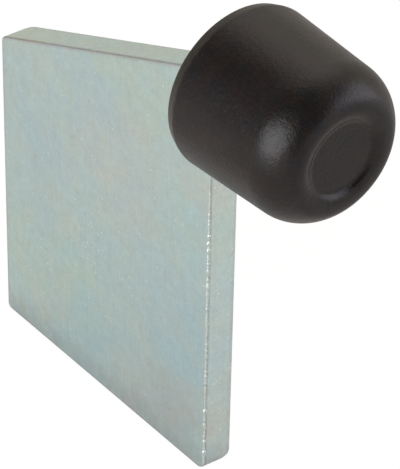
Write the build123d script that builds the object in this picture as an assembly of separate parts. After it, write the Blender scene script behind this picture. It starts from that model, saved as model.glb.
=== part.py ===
from build123d import *
from math import cos, radians, sin, tan
import os

os.makedirs("parts", exist_ok=True)

# Gate stop, in millimetres, Z up: a steel plate with a rubber buffer on its upright edge.
# The origin is the middle of the plate's bottom edge. X runs along the plate towards the
# buffer, Y through the plate's thickness, and the front face looks towards -Y.

# steel plate
plate_width = 75.0             # from the rear edge to the edge that carries the buffer
buffer_edge_height = 110.0
rear_edge_height = 78.0        # the top edge slopes down to here
plate_thickness = 8.0
plate_corner_round = 1.2
back_edge_round = 1.0          # edges that the shears rolled over
front_edge_round = 0.3         # edges that they left crisp

# steel disc that carries the rubber, seated on the plate's upright edge
axis_below_corner = 3.0        # buffer axis under the plate's top corner
disc_radius = 13.0
disc_thickness = 3.0

# rubber buffer: lengths along its axis, angles in degrees
buffer_radius = 19.0           # at its widest, in front of the back bevel
buffer_length = 34.1           # from the back face to the top of the rim
back_bevel_length = 2.6
back_bevel_depth = 0.9
back_bevel_round = 1.5         # where the bevel meets the taper
taper_angle = 2.4              # a side, narrowing towards the tip
shoulder_radius = 10.4
shoulder_turn = 46.0
rim_outer_round = 5.3          # the shoulder tightens to this before it turns in
rim_inner_round = 4.4
recess_depth = 1.0             # floor below the top of the rim
recess_wall_slope = 28.0       # against the floor
recess_foot_round = 2.6

# places that follow from the sizes above
buffer_edge_x = plate_width / 2
buffer_axis_height = buffer_edge_height - axis_below_corner
buffer_back_x = buffer_edge_x + disc_thickness


def make_plate():
    """Four-sided plate with rounded corners, crisp in front and rolled over at the back."""
    rear_edge_x = buffer_edge_x - plate_width
    with BuildPart() as plate:
        with BuildSketch(Plane.XZ) as outline:
            with BuildLine():
                Polyline((rear_edge_x, 0), (buffer_edge_x, 0), (buffer_edge_x, buffer_edge_height),
                         (rear_edge_x, rear_edge_height), close=True)
            make_face()
            fillet(outline.vertices(), plate_corner_round)
        extrude(amount=plate_thickness / 2, both=True)
        fillet(plate.faces().sort_by(Axis.Y)[-1].edges(), back_edge_round)
        fillet(plate.faces().sort_by(Axis.Y)[0].edges(), front_edge_round)
    return plate.part


def make_seat_disc():
    """Plain disc between the plate's edge and the back of the rubber."""
    with BuildPart() as disc:
        with BuildSketch(Plane.YZ.offset(buffer_edge_x)):
            with Locations((0, buffer_axis_height)):
                Circle(disc_radius)
        extrude(amount=disc_thickness)
    return disc.part


def draw_buffer_section():
    """Half section as (distance from the back face, radius), its curves tangent to each other."""
    rim_turn = taper_angle + shoulder_turn        # slope of the surface where the rim begins
    tip_length = (shoulder_radius * (sin(radians(rim_turn)) - sin(radians(taper_angle)))
                  + rim_outer_round * (1 - sin(radians(rim_turn))))
    shoulder_start = buffer_length - tip_length
    shoulder_start_radius = buffer_radius - (shoulder_start - back_bevel_length) * tan(radians(taper_angle))
    rounds_depth = (rim_inner_round + recess_foot_round) * (1 - cos(radians(recess_wall_slope)))
    wall_length = (recess_depth - rounds_depth) / sin(radians(recess_wall_slope))

    back = Line((0, 0), (0, buffer_radius - back_bevel_depth))
    side = FilletPolyline(back @ 1, (back_bevel_length, buffer_radius),
                          (shoulder_start, shoulder_start_radius), radius=back_bevel_round)
    shoulder = JernArc(side @ 1, side % 1, shoulder_radius, -shoulder_turn)
    rim_outside = JernArc(shoulder @ 1, shoulder % 1, rim_outer_round, rim_turn - 90)
    rim_inside = JernArc(rim_outside @ 1, rim_outside % 1, rim_inner_round, -recess_wall_slope)
    wall = Line(rim_inside @ 1, rim_inside @ 1 + (rim_inside % 1) * wall_length)
    foot = JernArc(wall @ 1, wall % 1, recess_foot_round, recess_wall_slope)
    Polyline(foot @ 1, ((foot @ 1).X, 0), (0, 0))


def make_buffer():
    """Tapered round moulding with a soft shoulder and a shallow dished recess at its tip."""
    back_centre = (buffer_back_x, 0, buffer_axis_height)
    with BuildPart() as buffer:
        with BuildSketch(Plane(back_centre, x_dir=(1, 0, 0), z_dir=(0, -1, 0))):
            with BuildLine():
                draw_buffer_section()
            make_face()
        revolve(axis=Axis(back_centre, (1, 0, 0)))
    return buffer.part


pieces = {
    "plate": make_plate(),
    "seat_disc": make_seat_disc(),
    "buffer": make_buffer(),
}
for name, piece in pieces.items():
    export_step(piece, f"parts/{name}.step")
    print(name, round(piece.volume), "mm3", piece.bounding_box())
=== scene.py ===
import math
import random

import bmesh
import bpy
from mathutils import Matrix, Vector, noise


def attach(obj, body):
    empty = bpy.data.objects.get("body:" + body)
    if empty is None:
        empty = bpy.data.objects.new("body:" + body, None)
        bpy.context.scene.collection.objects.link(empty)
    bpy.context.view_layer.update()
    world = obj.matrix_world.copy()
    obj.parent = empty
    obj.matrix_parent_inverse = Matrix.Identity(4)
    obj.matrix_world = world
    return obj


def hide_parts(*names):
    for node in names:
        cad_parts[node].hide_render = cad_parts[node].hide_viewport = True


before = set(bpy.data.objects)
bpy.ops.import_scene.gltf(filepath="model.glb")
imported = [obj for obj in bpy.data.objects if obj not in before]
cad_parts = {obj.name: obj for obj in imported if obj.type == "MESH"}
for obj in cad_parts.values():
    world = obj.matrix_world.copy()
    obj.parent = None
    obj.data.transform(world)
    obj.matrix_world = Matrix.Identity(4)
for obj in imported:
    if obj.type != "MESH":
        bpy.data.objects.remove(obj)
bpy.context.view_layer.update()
mm = 0.001


# Shader tools

class Wire:                                   # a socket that can stand in plain sums
    def __init__(self, finish, socket):
        self.finish, self.socket = finish, socket

    def sum(self, operation, *values):
        kind = "ShaderNodeVectorMath" if self.socket.type == "VECTOR" else "ShaderNodeMath"
        return self.finish.node(kind, {"operation": operation}, dict(enumerate(values)))

    def __add__(self, other):
        return self.sum("ADD", self, other)

    def __radd__(self, other):
        return self.sum("ADD", other, self)

    def __sub__(self, other):
        return self.sum("SUBTRACT", self, other)

    def __rsub__(self, other):
        return self.sum("SUBTRACT", other, self)

    def __mul__(self, other):
        return self.sum("MULTIPLY", self, other)

    def __rmul__(self, other):
        return self.sum("MULTIPLY", other, self)

    def __abs__(self):
        return self.sum("ABSOLUTE", self)

    def most(self, other):
        return self.sum("MAXIMUM", self, other)

    def least(self, other):
        return self.sum("MINIMUM", self, other)

    def rise(self, low, high, bottom=0.0, top=1.0):      # smooth step from bottom at low to top at high
        return self.finish.node("ShaderNodeMapRange", {"interpolation_type": "SMOOTHSTEP"},
                                {"Value": self, "From Min": low, "From Max": high,
                                 "To Min": bottom, "To Max": top})

    def fall(self, low, high, top=1.0):                  # and from top at low to 0 at high
        return self.rise(high, low, 0.0, top)


class Finish:                                 # a material or world that is being wired up
    def __init__(self, owner):
        owner.use_nodes = True
        self.tree = owner.node_tree
        self.tree.nodes.clear()

    def node(self, kind, settings, sockets, out=0):      # settings first, then the sockets' values and links
        made = self.tree.nodes.new(kind)
        for key, value in settings.items():
            setattr(made, key, value)
        for key, value in sockets.items():
            if isinstance(key, int):
                socket = made.inputs[key]
            else:
                socket = next(s for s in made.inputs if key in (s.identifier, s.name) and s.enabled)
            if isinstance(value, Wire):
                self.tree.links.new(value.socket, socket)
            elif socket.type == "RGBA":
                socket.default_value = (*value, 1)
            else:
                socket.default_value = value
        if isinstance(out, int):
            return Wire(self, made.outputs[out])
        return Wire(self, next(s for s in made.outputs if out in (s.identifier, s.name) and s.enabled))

    def blendColour(self, first, second, share, mode="MIX"):
        return self.node("ShaderNodeMix", {"data_type": "RGBA", "blend_type": mode},
                         {"Factor_Float": share, "A_Color": first, "B_Color": second}, out="Result_Color")

    def tinted(self, colour, tint, share=1.0):           # multiplied by the tint where share is 1
        return self.blendColour(colour, tint, share, "MULTIPLY")

    def parts(self, vector):                             # the three numbers of a vector
        split = self.node("ShaderNodeSeparateXYZ", {}, {0: vector})
        return [Wire(self, s) for s in split.socket.node.outputs]

    def joined(self, x, y, z):
        return self.node("ShaderNodeCombineXYZ", {}, {0: x, 1: y, 2: z})

    def places(self):                                    # a point of the object in millimetres
        where = self.node("ShaderNodeTexCoord", {}, {}, out="Object")
        return self.node("ShaderNodeVectorMath", {"operation": "SCALE"}, {0: where, "Scale": 1 / mm})

    def cloud(self, vector, scale, detail=2.0, roughness=0.5, distortion=0.0, out=0):
        return self.node("ShaderNodeTexNoise", {}, {"Vector": vector, "Scale": scale, "Detail": detail,
                                                    "Roughness": roughness, "Distortion": distortion}, out)

    def close(self, shader, kind="ShaderNodeOutputMaterial"):
        self.tree.links.new(shader.socket, self.tree.nodes.new(kind).inputs["Surface"])


# Mesh and direction tools

def skinRings(form, rings):                   # faces from ring to ring; a ring of one point closes an end
    for first, second in zip(rings, rings[1:]):
        count = max(len(first), len(second))
        for i in range(count):
            j = (i + 1) % count
            if len(first) == 1:
                form.faces.new((first[0], second[j], second[i]))
            elif len(second) == 1:
                form.faces.new((first[i], first[j], second[0]))
            else:
                form.faces.new((first[i], first[j], second[j], second[i]))


def pieceFrom(form, name):                    # the form was drawn in millimetres
    bmesh.ops.recalc_face_normals(form, faces=form.faces)
    bmesh.ops.scale(form, vec=(mm, mm, mm), verts=form.verts)
    mesh = bpy.data.meshes.new(name)
    form.to_mesh(mesh)
    form.free()
    mesh.polygons.foreach_set("use_smooth", [True] * len(mesh.polygons))
    piece = bpy.data.objects.new(name, mesh)
    bpy.context.scene.collection.objects.link(piece)
    return piece


def headingOf(azimuth, elevation):            # direction seen from the object, 0 0 being the plate's front
    around, above = math.radians(azimuth), math.radians(elevation)
    return Vector((math.sin(around) * math.cos(above), -math.cos(around) * math.cos(above), math.sin(above)))


# Camera, fitted to the edges of the plate and the buffer in the photograph

cameraPlan = {
    "aim": (0.02969, 0.0, 0.06083),           # point of the object in the middle of the picture, in metres
    "distance": 0.6903,
    "azimuth": 50.59, "elevation": 37.56,
    "roll": 1.22,                             # degrees
    "lens": 244.62, "sensor": 36.0,
    "near": 0.01, "far": 50.0,
}


def placeCamera(plan):
    back = headingOf(plan["azimuth"], plan["elevation"])
    data = bpy.data.cameras.new("camera")
    data.lens, data.sensor_width = plan["lens"], plan["sensor"]
    data.clip_start, data.clip_end = plan["near"], plan["far"]
    camera = bpy.data.objects.new("camera", data)
    bpy.context.scene.collection.objects.link(camera)
    camera.location = Vector(plan["aim"]) + back * plan["distance"]
    turn = (-back).to_track_quat("-Z", "Y").to_matrix()
    camera.rotation_euler = (turn @ Matrix.Rotation(math.radians(plan["roll"]), 3, "Z")).to_euler()
    bpy.context.scene.camera = camera


placeCamera(cameraPlan)
print("camera placed")


# Light, floor and surroundings

lampPlan = {                                  # sizes in metres, bright is the radiance of the lamp's face
    "frontBox": {
        "azimuth": 12, "elevation": 16, "distance": 1.1, "shape": "ELLIPSE", "size": (1.2, 0.82),
        "bright": 5.2, "colour": (0.98, 0.97, 1.0),
    },
    "backRightBox": {
        "azimuth": 140, "elevation": 14, "distance": 1.3, "shape": "RECTANGLE", "size": (1.2, 1.0),
        "bright": 2.35, "colour": (0.87, 0.86, 1.0),
    },
}
roomPlan = {
    "lampAim": (0.03, 0.0, 0.08),
    "sky": [                                  # pale parts of a dark room: azimuth, elevation, reach, colour
        (-160, 20, 90, (0.78, 0.72, 0.62)),
        (-140, 60, 35, (1.04, 0.93, 0.90)),
        (-60, 0, 60, (0.35, 0.30, 0.31)),
    ],
    "floorHalf": 6.0,                         # metres from the middle to each side
    "floorGrey": 0.82,
    "floorGlow": (0.70, 0.62, 0.55),          # the pale floor as the metal and the rubber mirror it
    "whiteStrength": 1.035,                   # the floor's open part just comes out white
    "shadowShare": 0.08,                      # how much of the floor's shading the camera sees
    "mirrorShare": 0.70,                      # and how much of it the object mirrors
}


def hangLamps(plan, aim):
    for name, lamp in plan.items():
        data = bpy.data.lights.new(name, "AREA")
        data.shape, data.size, data.size_y = lamp["shape"], *lamp["size"]
        area = lamp["size"][0] * lamp["size"][1] * (math.pi / 4 if lamp["shape"] == "ELLIPSE" else 1)
        data.energy = lamp["bright"] * area * math.pi
        data.color = lamp["colour"]
        box = bpy.data.objects.new(name, data)
        bpy.context.scene.collection.objects.link(box)
        away = headingOf(lamp["azimuth"], lamp["elevation"])
        box.location = Vector(aim) + away * lamp["distance"]
        box.rotation_euler = (-away).to_track_quat("-Z", "Y").to_euler()


def paintRoom(plan):
    world = bpy.data.worlds.new("studio")
    bpy.context.scene.world = world
    room = Finish(world)
    direction = room.node("ShaderNodeTexCoord", {}, {}, out="Generated")
    colour = (0.0, 0.0, 0.0)
    for azimuth, elevation, reach, paint in plan["sky"]:
        towards = room.node("ShaderNodeVectorMath", {"operation": "DOT_PRODUCT"},
                            {0: direction, 1: tuple(headingOf(azimuth, elevation))}, out="Value")
        colour = room.blendColour(colour, paint, towards.rise(math.cos(math.radians(reach)), 1.0), "ADD")
    lit = room.node("ShaderNodeBackground", {}, {"Color": colour, "Strength": 1.0})
    white = room.node("ShaderNodeBackground", {}, {"Color": (1, 1, 1), "Strength": 1.0})
    cameraRay = room.node("ShaderNodeLightPath", {}, {}, out="Is Camera Ray")
    room.close(room.node("ShaderNodeMixShader", {}, {0: cameraRay, 1: lit, 2: white}),
               kind="ShaderNodeOutputWorld")


def layFloor(plan):
    mesh = bpy.data.meshes.new("studioFloor")
    half = plan["floorHalf"]
    mesh.from_pydata([(-half, -half, 0), (half, -half, 0), (half, half, 0), (-half, half, 0)], [],
                     [(0, 1, 2, 3)])
    floor = bpy.data.objects.new("studioFloor", mesh)
    bpy.context.scene.collection.objects.link(floor)
    material = bpy.data.materials.new("pale_floor")
    paper = Finish(material)
    grey = plan["floorGrey"]
    lit = paper.node("ShaderNodeBsdfDiffuse", {}, {"Color": (grey, grey, grey)})
    # the camera sees plain white with a little of the shading, mirrored rays see the glow with most of it
    shaded = paper.node("ShaderNodeBsdfDiffuse", {}, {"Color": (1, 1, 1)})
    white = paper.node("ShaderNodeEmission", {}, {"Color": (1, 1, 1), "Strength": plan["whiteStrength"]})
    seen = paper.node("ShaderNodeMixShader", {}, {0: plan["shadowShare"], 1: white, 2: shaded})
    glow = paper.node("ShaderNodeEmission", {}, {"Color": plan["floorGlow"], "Strength": 1.0})
    mirrored = paper.node("ShaderNodeMixShader", {}, {0: plan["mirrorShare"], 1: glow, 2: lit})
    cameraRay = paper.node("ShaderNodeLightPath", {}, {}, out="Is Camera Ray")
    glossyRay = paper.node("ShaderNodeLightPath", {}, {}, out="Is Glossy Ray")
    clearRay = paper.node("ShaderNodeLightPath", {}, {}, out="Is Transmission Ray")
    other = paper.node("ShaderNodeMixShader", {}, {0: glossyRay.most(clearRay), 1: lit, 2: mirrored})
    paper.close(paper.node("ShaderNodeMixShader", {}, {0: cameraRay, 1: other, 2: seen}))
    mesh.materials.append(material)


hangLamps(lampPlan, roomPlan["lampAim"])
paintRoom(roomPlan)
layFloor(roomPlan)
print("studio lit")


# Steel plate: cut by shears, crisp in front and rolled over behind, then zinc plated as the disc is

platePlan = {                                 # sizes in millimetres
    "left": -37.5, "right": 37.5, "rearHeight": 78.0, "bufferHeight": 110.0, "thick": 8.0,
    "frontRound": 0.3,
    "backRounds": (2.6, 1.0, 1.0, 2.6),       # along the bottom, buffer, top and rear edges
    "cornerRounds": (                         # in front and behind, from the lower rear corner anticlockwise
        (1.2, 1.6), (2.4, 1.3), (1.2, 1.2), (1.6, 3.0),
    ),
    "cornerSteps": 9, "frontSteps": 4, "backSteps": 10,
    "middleLevels": (-3.0, -2.0, -1.0, 0.0),
    "zinc": (0.548, 0.690, 0.678), "metallic": 0.85, "roughness": 0.42,
    "scales": {                               # how many spots of each pattern go into a millimetre
        "warp": 0.09, "hue": 0.13, "drift": 0.05, "worn": 0.30, "grain": 1.5, "mottle": 0.42, "specks": 0.8,
        "linesAcross": 2.2, "linesUp": 0.05,
    },
    "patches": [                              # x, z, reach, tint: the plating's rainbow tones
        (9, 68, 17, (1.035, 0.982, 0.982)), (10, 96, 15, (1.0, 0.995, 0.955)),
        (-7, 80, 10, (0.965, 0.985, 1.015)), (-22, 57, 11, (0.965, 0.982, 1.018)),
        (28, 66, 9, (0.975, 1.005, 1.00)), (27, 36, 15, (0.95, 0.975, 1.015)),
        (-30, 20, 12, (1.01, 1.015, 0.975)), (-10, 27, 9, (0.99, 1.015, 0.985)),
        (-22, 39, 8, (0.97, 0.99, 1.015)), (-6, 15, 9, (0.97, 0.995, 1.015)),
        (12, 8, 11, (1.03, 0.98, 0.975)), (31, 15, 10, (1.02, 0.96, 0.95)),
        (-22, 11, 5, (1.03, 0.985, 0.985)), (24, 6, 13, (0.98, 0.94, 0.94)),
        (35, 80, 9, (1.03, 0.985, 0.975)),
    ],
    "warp": 26.0,                             # how far a patch's outline strays
    "warmHue": (1.025, 1.0, 0.97), "coolHue": (0.975, 1.0, 1.02),         # small shifts of tone
    "warmDrift": (1.04, 0.99, 0.96), "coolDrift": (0.98, 0.985, 1.0),     # and broad ones
    "grain": 0.34, "mottle": 0.25, "lines": 0.12, "specks": 0.20,         # how far each goes light and dark
    "speckSize": (0.14, 0.30), "speckShare": (0.90, 0.96),                # radii, and which cells have one
    "pitSize": (0.08, 0.20), "pitShare": (0.06, 0.10),
    "dusty": (-6, 40, 11),                    # x, z, reach: where the specks stand closest
    "cutFaceLight": (1.16, 1.13, 1.10),        # painted light: the cut faces are a little brighter
    "rimTint": (0.92, 0.80, 0.83), "rimWidth": 1.0,       # thin worn line along the edges of the big faces
    "paintedShadeTint": (0.90, 0.86, 0.86), "footShadeHeight": 9.0,    # painted shade: darker towards the foot, a little reddish
    "lowShadeTint": (0.93, 0.915, 0.93), "lowShadeHeight": 45.0,    # painted shade: the cut faces darken downwards
    "topTint": (0.98, 1.0, 1.06), "topCools": (82.0, 100.0),              # the cut top cools as it rises
    "topFades": (0.75, 3.75),                 # this far from the upright cut face, which stays as it is
    "frontShadeTint": (0.66, 0.61, 0.61), "frontShadeWidth": 1.05,    # painted shade: dark line along the front of the cut faces
    "backShadeBand": (0.7, 1.6),                   # and painted shade as a darker band along their back
    "rimStray": 0.9, "frontShadeStray": 0.3, "backShadeStray": 1.5,  # how far the outlines of all three stray
}


def outlineOf(plan, insets, rounds):          # how far each edge is drawn in, and each corner's radius
    corners = [Vector((plan["left"], 0)), Vector((plan["right"], 0)),
               Vector((plan["right"], plan["bufferHeight"])), Vector((plan["left"], plan["rearHeight"]))]
    points = []
    for i in range(4):
        first = (corners[i] - corners[i - 1]).orthogonal().normalized()
        second = (corners[(i + 1) % 4] - corners[i]).orthogonal().normalized()
        slant = first.dot(second)
        a, b = insets[i - 1] + rounds[i], insets[i] + rounds[i]
        middle = corners[i] + (first * (a - slant * b) + second * (b - slant * a)) / (1 - slant * slant)
        for k in range(plan["cornerSteps"] + 1):
            around = math.atan2(-first.y, -first.x) + math.acos(slant) * k / plan["cornerSteps"]
            points.append(middle + Vector((math.cos(around), math.sin(around))) * rounds[i])
    return points


def makePlate(plan):
    half, crisp, deepest = plan["thick"] / 2, plan["frontRound"], max(plan["backRounds"])
    quarter = math.pi / 2
    levels = [crisp * (1 - math.cos(quarter * k / plan["frontSteps"])) - half
              for k in range(plan["frontSteps"] + 1)]
    levels += plan["middleLevels"]
    levels += [half - deepest * (1 - math.sin(quarter * k / plan["backSteps"]))
               for k in range(plan["backSteps"] + 1)]
    form = bmesh.new()
    rings = []
    for y in levels:
        front = crisp - math.sqrt(crisp ** 2 - max(0.0, crisp - half - y) ** 2)
        insets = [front + reach - math.sqrt(max(0.0, reach ** 2 - max(0.0, y - half + reach) ** 2))
                  for reach in plan["backRounds"]]
        depth = (y + half) / plan["thick"]
        rounds = [near + (far - near) * depth for near, far in plan["cornerRounds"]]
        rings.append([form.verts.new((point.x, y, point.y)) for point in outlineOf(plan, insets, rounds)])
    skinRings(form, rings)
    form.faces.new(rings[0])
    form.faces.new(list(reversed(rings[-1])))
    plate = pieceFrom(form, "steelPlate")
    flat = plate.modifiers.new("flatFaces", "WEIGHTED_NORMAL")
    flat.mode, flat.weight = "FACE_AREA", 50
    return plate


def edgeWearAndShade(zinc, colour, plan, x, y, z, facing, cut):
    half = plan["thick"] / 2
    worn = zinc.cloud(zinc.joined(x + 5.0, y + 3.0, z + 1.0), plan["scales"]["worn"], 3.0, 0.6)
    ragged = worn - 0.5
    # a thin darker rim where the plating wears along its edges, and painted shade along the foot
    slope = (plan["bufferHeight"] - plan["rearHeight"]) / (plan["right"] - plan["left"])
    underTop = ((x - plan["left"]) * slope + plan["rearHeight"] - z) * (1 / math.sqrt(1 + slope * slope))
    rim = (x - plan["left"]).least(underTop).least(z) + ragged * plan["rimStray"]
    colour = zinc.tinted(colour, plan["rimTint"], rim.fall(0.1, plan["rimWidth"]) * facing)
    # painted shade near the floor
    foot = (z + ragged * plan["footShadeHeight"]).fall(0.5, plan["footShadeHeight"])
    colour = zinc.tinted(colour, plan["paintedShadeTint"], foot)
    # painted shade: the cut faces darken downwards; and the top one cools towards the buffer
    colour = zinc.tinted(colour, plan["lowShadeTint"], z.fall(5.0, plan["lowShadeHeight"]) * cut)
    onTop = x.rise(*[plan["right"] - reach for reach in plan["topFades"]]) * cut
    colour = zinc.tinted(colour, plan["topTint"], z.rise(*plan["topCools"]) * onTop)
    # painted shade: a dark line runs along their front, in places fainter, and a darker band along their
    # back
    frontShade = (y + half + ragged * plan["frontShadeStray"]).fall(0.2, plan["frontShadeWidth"])
    colour = zinc.tinted(colour, plan["frontShadeTint"], frontShade * worn.rise(0.30, 0.50, 0.45, 1.0) * cut)
    # painted shade along the back of the cut faces
    dull = (half - y + ragged * plan["backShadeStray"]).fall(*plan["backShadeBand"], 0.7)
    return zinc.tinted(colour, plan["paintedShadeTint"], dull * cut)


def zincPlating(name, plan, edges):
    scales = plan["scales"]
    material = bpy.data.materials.new(name)
    zinc = Finish(material)
    where = zinc.places()
    x, y, z = zinc.parts(where)
    facing = abs(zinc.parts(zinc.node("ShaderNodeTexCoord", {}, {}, out="Normal"))[1])
    cut = facing.fall(0.35, 0.75)             # 0 on the two big faces, 1 on the cut ones
    # rainbow patches whose outlines stray, then small and broad shifts of tone all over
    stray = zinc.parts(zinc.cloud(where, scales["warp"], 3.0, out="Color"))
    px, pz = x + (stray[0] - 0.5) * plan["warp"], z + (stray[2] - 0.5) * plan["warp"]
    colour = plan["zinc"]
    for left, up, reach, tint in plan["patches"]:
        dx, dz = (px - left) * (1 / reach), (pz - up) * (1 / reach)
        colour = zinc.tinted(colour, tint, (dx * dx + dz * dz).fall(0.25, 1.5))
    hue = zinc.cloud(where + (2.0, 19.0, 31.0), scales["hue"], 2.0, 0.6).rise(0.3, 0.7)
    colour = zinc.tinted(colour, zinc.blendColour(plan["warmHue"], plan["coolHue"], hue))
    drift = zinc.cloud(where + (41.0, 13.0, 7.0), scales["drift"], 3.0, 0.55, 0.5)
    colour = zinc.tinted(colour, plan["coolDrift"], drift.rise(0.52, 0.68, 0.0, 0.6))
    colour = zinc.tinted(colour, plan["warmDrift"], drift.fall(0.34, 0.48, 0.6))
    # painted light: the cut faces are made a little brighter
    colour = zinc.tinted(colour, plan["cutFaceLight"], cut)
    if edges:
        colour = edgeWearAndShade(zinc, colour, plan, x, y, z, facing, cut)
    # grain of the plating, mottling, faint rolling lines up the sheet, bright specks and dark pits
    grain = zinc.cloud(where, scales["grain"], 4.0, 0.7)
    mottle = zinc.cloud(where + (11.0, 0.0, 4.0), scales["mottle"], 3.0, 0.75)
    across, upwards = scales["linesAcross"], scales["linesUp"]
    lines = zinc.cloud(zinc.joined(x * across, y * across, z * upwards), 1.0, 3.0, 0.6)
    cells = zinc.node("ShaderNodeTexVoronoi", {}, {"Vector": where, "Scale": scales["specks"]})
    pick = zinc.parts(Wire(zinc, cells.socket.node.outputs["Color"]))[0]
    dustX, dustZ, dustReach = plan["dusty"]
    dustX, dustZ = (x - dustX) * (1 / dustReach), (z - dustZ) * (1 / dustReach)
    near = (dustX * dustX + dustZ * dustZ).fall(0.1, 1.2, 0.45)
    specks = cells.fall(*plan["speckSize"]) * (pick + near).rise(*plan["speckShare"])
    pits = cells.fall(*plan["pitSize"]) * pick.fall(*plan["pitShare"])
    light = (1.0 + (grain - 0.5) * plan["grain"] + (mottle - 0.5) * plan["mottle"]
             + (lines - 0.5) * plan["lines"] + (specks - pits) * plan["specks"])
    colour = zinc.tinted(colour, zinc.joined(light, light, light))
    relief = grain * 0.7 + lines * 0.3 + specks * 0.4 - pits * 0.6
    zinc.close(zinc.node("ShaderNodeBsdfPrincipled", {}, {
        "Base Color": colour, "Metallic": plan["metallic"],
        "Roughness": plan["roughness"] + (grain - 0.5) * 0.2 - specks * 0.1,
        "Normal": zinc.node("ShaderNodeBump", {}, {"Strength": 0.2, "Distance": 0.1 * mm, "Height": relief}),
    }))
    return material


steelPlate = makePlate(platePlan)
steelPlate.data.materials.append(zincPlating("plate_zinc", platePlan, edges=True))
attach(steelPlate, "root")
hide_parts("plate")
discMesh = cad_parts["seat_disc"].data
discZinc = zincPlating("disc_zinc", platePlan, edges=False)
for i in range(len(discMesh.materials)):
    discMesh.materials[i] = discZinc
print("plate and disc plated")


# Burr: the ragged ridge that the shears left along the plate's front edge under the buffer

burrPlan = {                                  # millimetres
    "x": 37.34, "y": -3.86, "low": 0.6, "high": 80.0, "step": 0.2, "sides": 9,
    "cornerRound": 2.4,                       # the plate's lower corner, which the ridge follows
    "thin": 0.19, "thinnest": 0.02,
    "ragged": 0.11, "raggedPitch": 1.3,       # how much its thickness strays, and how fast along it
    "stray": 0.08, "strayPitch": 0.7,         # and its place
    "dent": 0.35, "dentPitch": (2.0, 2.6),    # and its section, round it and along it
    "endSteps": 6,                            # over which each end thins out
    "beads": ((5, 13, 20), (13, 36, 34), (36, 70, 96), (70, 83, 8), (1, 6, 12)),    # from, to, how many
    "beadHeight": (0.05, 0.12), "beadReach": (0.10, 0.34),
    "bright": (0.73, 0.82, 0.78), "dull": (0.59, 0.69, 0.66), "grainScale": 2.5,
    "metallic": 0.9, "roughness": 0.50,
}


def makeBurr(plan):
    dice = random.Random(11)
    beads = [(dice.uniform(low, high), dice.uniform(*plan["beadHeight"]), dice.uniform(*plan["beadReach"]))
             for low, high, count in plan["beads"] for i in range(count)]
    form = bmesh.new()
    rings = []
    steps = int((plan["high"] - plan["low"]) / plan["step"])
    for k in range(steps + 1):
        z = plan["low"] + k * plan["step"]
        ends = min(1.0, k / plan["endSteps"], (steps - k) / plan["endSteps"])
        bulk = plan["thin"] + plan["ragged"] * noise.noise(Vector((0.0, 3.0, z * plan["raggedPitch"])))
        for place, height, reach in beads:
            bulk += height * math.exp(-((z - place) / reach) ** 2)
        bulk = max(plan["thinnest"], bulk * ends)
        turned = math.sqrt(plan["cornerRound"] ** 2 - max(0.0, plan["cornerRound"] - z) ** 2)
        along = z * plan["strayPitch"]
        cx = plan["x"] + plan["stray"] * noise.noise(Vector((7.0, 0.0, along)))
        cx += turned - plan["cornerRound"]
        cy = plan["y"] + plan["stray"] * noise.noise(Vector((0.0, 9.0, along)))
        ring = []
        for i in range(plan["sides"]):
            around = 2 * math.pi * i / plan["sides"]
            spot = Vector((math.cos(around), math.sin(around), 0.0)) * plan["dentPitch"][0]
            spot.z = z * plan["dentPitch"][1]
            r = bulk * (1 + plan["dent"] * noise.noise(spot))
            ring.append(form.verts.new((cx + r * math.cos(around), cy + r * math.sin(around), z)))
        rings.append(ring)
    skinRings(form, rings)
    form.faces.new(list(reversed(rings[0])))
    form.faces.new(rings[-1])
    return pieceFrom(form, "edgeBurr")


def burrZinc(plan):
    material = bpy.data.materials.new("bright_burr_zinc")
    zinc = Finish(material)
    grain = zinc.cloud(zinc.places(), plan["grainScale"], 3.0, 0.6)
    zinc.close(zinc.node("ShaderNodeBsdfPrincipled", {}, {
        "Base Color": zinc.blendColour(plan["bright"], plan["dull"], grain.rise(0.40, 0.62)),
        "Metallic": plan["metallic"], "Roughness": plan["roughness"] + (grain - 0.5) * 0.2,
    }))
    return material


edgeBurr = makeBurr(burrPlan)
edgeBurr.data.materials.append(burrZinc(burrPlan))
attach(edgeBurr, "root")
print("burr raised")


# Rubber buffer: one smooth moulding turned about its level axis

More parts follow.
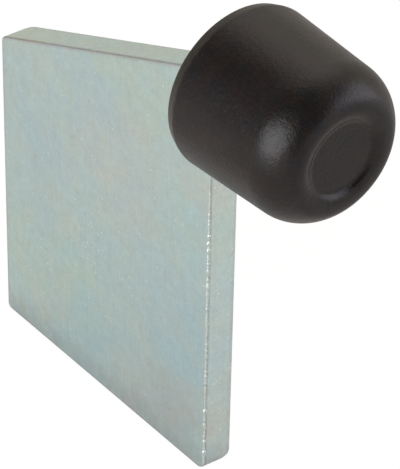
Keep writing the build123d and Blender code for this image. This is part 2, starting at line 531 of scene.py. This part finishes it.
bufferPlan = {                                # millimetres and degrees
    "backX": 40.5, "axisHeight": 107.0,
    "length": 34.1, "radius": 19.0, "bevelLength": 2.6, "bevelDepth": 0.9,
    "backSoft": 0.35, "bevelSoft": 0.5,       # how far the bevel's two edges are softened to each side
    "taper": 2.4, "shoulderRadius": 10.4, "shoulderTurn": 46.0,
    "rimOuter": 5.3, "rimInner": 4.4, "recessDepth": 1.0, "wallSlope": 28.0, "footRound": 2.6,
    "backRings": (0, 4, 8, 12, 15.5),         # radii of the rings on the flat back
    "rings": {"backSoft": 6, "bevelSoft": 8, "side": 24, "shoulder": 40, "rimOuter": 24, "rimInner": 14,
              "wall": 4, "foot": 8, "floor": 10},
    "spokes": 224,
    "wobble": 0.03, "wobblePitch": (0.09, 1.7),           # unevenness of the surface, along it and round it
    "scales": {"bloom": 0.09, "grain": 2.4, "dust": 0.35, "pebble": 0.95, "specks": 1.6},
    "black": (0.0092, 0.0076, 0.0068), "bloomed": (0.013, 0.0115, 0.0105),
    "warmHue": (1.35, 1.1, 0.95), "coolHue": (0.8, 0.9, 1.1),
    "roughness": 0.33, "gloss": 0.32,
    "pebbled": 0.8,                           # strength of the moulded skin's fine relief
    # the bevel at the back is a little paler, and a painted highlight runs along its edge
    "paleBevel": (0.0165, 0.016, 0.011), "paleBevelStray": 0.8, "paleBevelFade": 0.3,
    "creaseHighlight": (0.032, 0.028, 0.022), "creaseHighlightReach": (0.1, 0.5),
    "speckColour": (0.85, 0.95, 1.0), "specks": 0.012,    # fine pale dust
    "tipFrom": (60.0, 64.0),                  # x where the small end begins to differ
    "mouldedWall": (6.6, 10.8, -0.11),        # from radius, to radius, change of roughness: a glossy wall
    "rubbedRim": (11.2, 13.3, 0.12),          # and a rim that is rubbed duller
    "ringSoft": 0.6,                          # both fade out over this much to each side
}


def roundCorner(points, corner, before, after, reach, pieces):
    for i in range(pieces + 1):
        t = i / pieces
        points.append(corner - before * reach * (1 - t) ** 2 + after * reach * t ** 2)


def followArc(points, heading, radius, turn, pieces):     # carries on from the last point
    bend = turn / pieces
    chord = 2 * radius * math.sin(abs(bend) / 2)
    for i in range(pieces):
        middle = heading + bend / 2
        points.append(points[-1] + Vector((math.cos(middle), math.sin(middle))) * chord)
        heading += bend
    return heading


def sectionOf(plan):                          # points as (distance from the back face, radius)
    count = plan["rings"]
    taper, shoulder = math.radians(plan["taper"]), math.radians(plan["shoulderTurn"])
    rimTurn, slope = taper + shoulder, math.radians(plan["wallSlope"])
    tipLength = (plan["shoulderRadius"] * (math.sin(rimTurn) - math.sin(taper))
                 + plan["rimOuter"] * (1 - math.sin(rimTurn)))
    sideLength = (plan["length"] - tipLength - plan["bevelLength"]) / math.cos(taper)
    wallDepth = plan["recessDepth"] - (plan["rimInner"] + plan["footRound"]) * (1 - math.cos(slope))
    outward = Vector((0, 1))
    bevel = Vector((plan["bevelLength"], plan["bevelDepth"])).normalized()
    along = Vector((math.cos(taper), -math.sin(taper)))
    backEdge = Vector((0, plan["radius"] - plan["bevelDepth"]))
    bevelEdge = Vector((plan["bevelLength"], plan["radius"]))

    points = [outward * radius for radius in plan["backRings"]]
    roundCorner(points, backEdge, outward, bevel, plan["backSoft"], count["backSoft"])
    roundCorner(points, bevelEdge, bevel, along, plan["bevelSoft"], count["bevelSoft"])
    for i in range(1, count["side"] + 1):
        share = i / count["side"]
        points.append(bevelEdge + along * (plan["bevelSoft"] * (1 - share) + sideLength * share))
    heading = followArc(points, -taper, plan["shoulderRadius"], -shoulder, count["shoulder"])
    heading = followArc(points, heading, plan["rimOuter"], rimTurn - math.pi / 2, count["rimOuter"])
    heading = followArc(points, heading, plan["rimInner"], -slope, count["rimInner"])
    wallStep = Vector((math.cos(heading), math.sin(heading))) * (wallDepth / math.sin(slope) / count["wall"])
    for i in range(count["wall"]):
        points.append(points[-1] + wallStep)
    followArc(points, heading, plan["footRound"], slope, count["foot"])
    floorEdge = points[-1]
    for i in range(1, count["floor"] + 1):
        points.append(Vector((floorEdge.x, floorEdge.y * (1 - i / count["floor"]))))
    return points


def makeBuffer(plan):
    alongPitch, roundPitch = plan["wobblePitch"]
    form = bmesh.new()
    rings = []
    for s, r in sectionOf(plan):
        if r == 0:
            rings.append([form.verts.new((plan["backX"] + s, 0, plan["axisHeight"]))])
            continue
        ring = []
        for i in range(plan["spokes"]):
            around = 2 * math.pi * i / plan["spokes"]
            y, z = math.cos(around), math.sin(around)
            swell = noise.noise(Vector((s * alongPitch, y * roundPitch, z * roundPitch + 5.0)))
            reach = r + plan["wobble"] * (swell - 1)
            ring.append(form.verts.new((plan["backX"] + s, reach * y, plan["axisHeight"] + reach * z)))
        rings.append(ring)
    skinRings(form, rings)
    return pieceFrom(form, "rubberBuffer")


def bufferRubber(plan):
    scales = plan["scales"]
    material = bpy.data.materials.new("black_rubber_skin")
    rubber = Finish(material)
    where = rubber.places()
    x, y, z = rubber.parts(where)
    bloom = rubber.cloud(where, scales["bloom"], 3.0, 0.6, 0.5)
    grain = rubber.cloud(where, scales["grain"], 3.0, 0.6)
    dust = rubber.cloud(where + (9.0, 2.0, 5.0), scales["dust"], 4.0, 0.7)
    pebble = rubber.cloud(where + (4.0, 6.0, 2.0), scales["pebble"], 3.0, 0.6)
    specks = rubber.cloud(where + (1.0, 8.0, 3.0), scales["specks"], 3.0, 0.75)
    colour = rubber.blendColour(plan["black"], plan["bloomed"], bloom.rise(0.4, 0.75))
    hue = rubber.blendColour(plan["warmHue"], plan["coolHue"], dust.rise(0.35, 0.65))
    colour = rubber.tinted(colour, hue)
    # the bevel at the back is a little paler, and its edge carries a painted highlight
    back = x - plan["backX"] + (dust - 0.5) * plan["paleBevelStray"]
    onBevel = back.fall(plan["bevelLength"] - plan["paleBevelFade"], plan["bevelLength"] + plan["paleBevelFade"])
    colour = rubber.blendColour(colour, plan["paleBevel"], onBevel * bloom.rise(0.40, 0.55, 0.2, 1.0))
    onCrease = abs(back - plan["bevelLength"]).fall(*plan["creaseHighlightReach"]) * dust.rise(0.45, 0.60)
    colour = rubber.blendColour(colour, plan["creaseHighlight"], onCrease)
    colour = rubber.blendColour(colour, plan["speckColour"], specks.rise(0.52, 0.78, 0.0, plan["specks"]))
    # at the small end the recess keeps its gloss and the rim has lost it
    up = z - plan["axisHeight"]
    away = y * y + up * up
    atTip = x.rise(*plan["tipFrom"])
    roughness = plan["roughness"] + (bloom - 0.5) * 0.12 + (grain - 0.5) * 0.08
    soft = plan["ringSoft"]
    for low, high, change in (plan["mouldedWall"], plan["rubbedRim"]):
        beyond = away.rise((low - soft) ** 2, (low + soft) ** 2)
        within = away.fall((high - soft) ** 2, (high + soft) ** 2)
        roughness = roughness + beyond * within * atTip * change
    rubber.close(rubber.node("ShaderNodeBsdfPrincipled", {}, {
        "Base Color": colour, "Roughness": roughness, "Specular IOR Level": plan["gloss"],
        "Normal": rubber.node("ShaderNodeBump", {}, {"Strength": plan["pebbled"], "Distance": 0.1 * mm,
                                                     "Height": grain * 0.5 + pebble}),
    }))
    return material


rubberBuffer = makeBuffer(bufferPlan)
rubberBuffer.data.materials.append(bufferRubber(bufferPlan))
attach(rubberBuffer, "root")
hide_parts("buffer")
print("buffer moulded")


bpy.context.scene.view_settings.view_transform = "Standard"
print("done")
